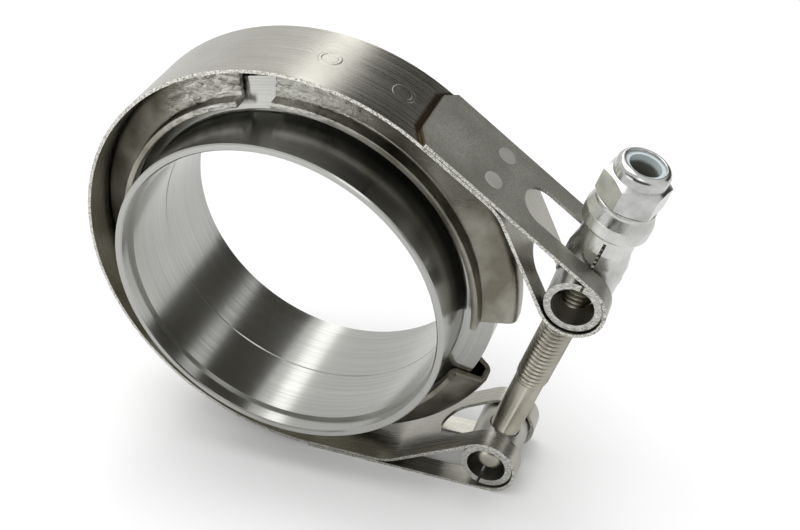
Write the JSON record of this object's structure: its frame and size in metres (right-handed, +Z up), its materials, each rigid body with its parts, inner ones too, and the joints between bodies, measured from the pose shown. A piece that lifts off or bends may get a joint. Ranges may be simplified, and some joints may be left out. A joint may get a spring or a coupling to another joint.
{
  "type": "v band clamp",
  "caption": "V band exhaust clamp with T-bolt, closed round the pair of weld flanges that it joins, standing on its lower loop.",
  "frame": {"origin": "centre of the ring in the plane where the two flanges meet", "axes": "Y along the ring's axis, -Y towards the male flange; +X towards the clamp's opening; +Z up, square to the level lower leg of the strap"},
  "size_m": [0.134, 0.0394, 0.1057],
  "materials": {
    "strap_steel": "satin rolled stainless strip, bead blasted ends",
    "pressed_steel": "dull pressed stainless with forming marks",
    "turned_steel": "lathe turned stainless, fine circular lines",
    "bolt_steel": "drawn stainless with rolled thread",
    "tube_steel": "rolled strip, cut ends",
    "plated_sleeve": "satin zinc plate",
    "plated_nut": "bright zinc plate",
    "nylon": "pale translucent nylon"
  },
  "bodies": {
    "clamp": {"band": "strap_steel", "v_segment_upper": "pressed_steel", "v_segment_middle": "pressed_steel", "v_segment_lower": "pressed_steel", "flange_front": "turned_steel", "flange_rear": "turned_steel", "t_bolt": "bolt_steel", "bolt_trunnion": "tube_steel", "nut_trunnion": "tube_steel"},
    "sleeve": {"spacer_sleeve": "plated_sleeve"},
    "nut": {"lock_nut": "plated_nut", "nylon_insert": "nylon"}
  },
  "joints": [
    {"name": "sleeve_travel", "type": "slide", "parent": "clamp", "child": "sleeve", "axis": [0.326, 0, 0.9454], "range_m": [0, 0.0075]},
    {"name": "nut_turn", "type": "hinge", "parent": "sleeve", "child": "nut", "pos_m": [0.07407, 0, 0.0329], "axis": [0.326, 0, 0.9454], "range_deg": [0, 2160]}
  ],
  "couplings": [
    {"joint": "sleeve_travel", "follows": "nut_turn", "m_per_rad": 0.00019894}
  ]
}
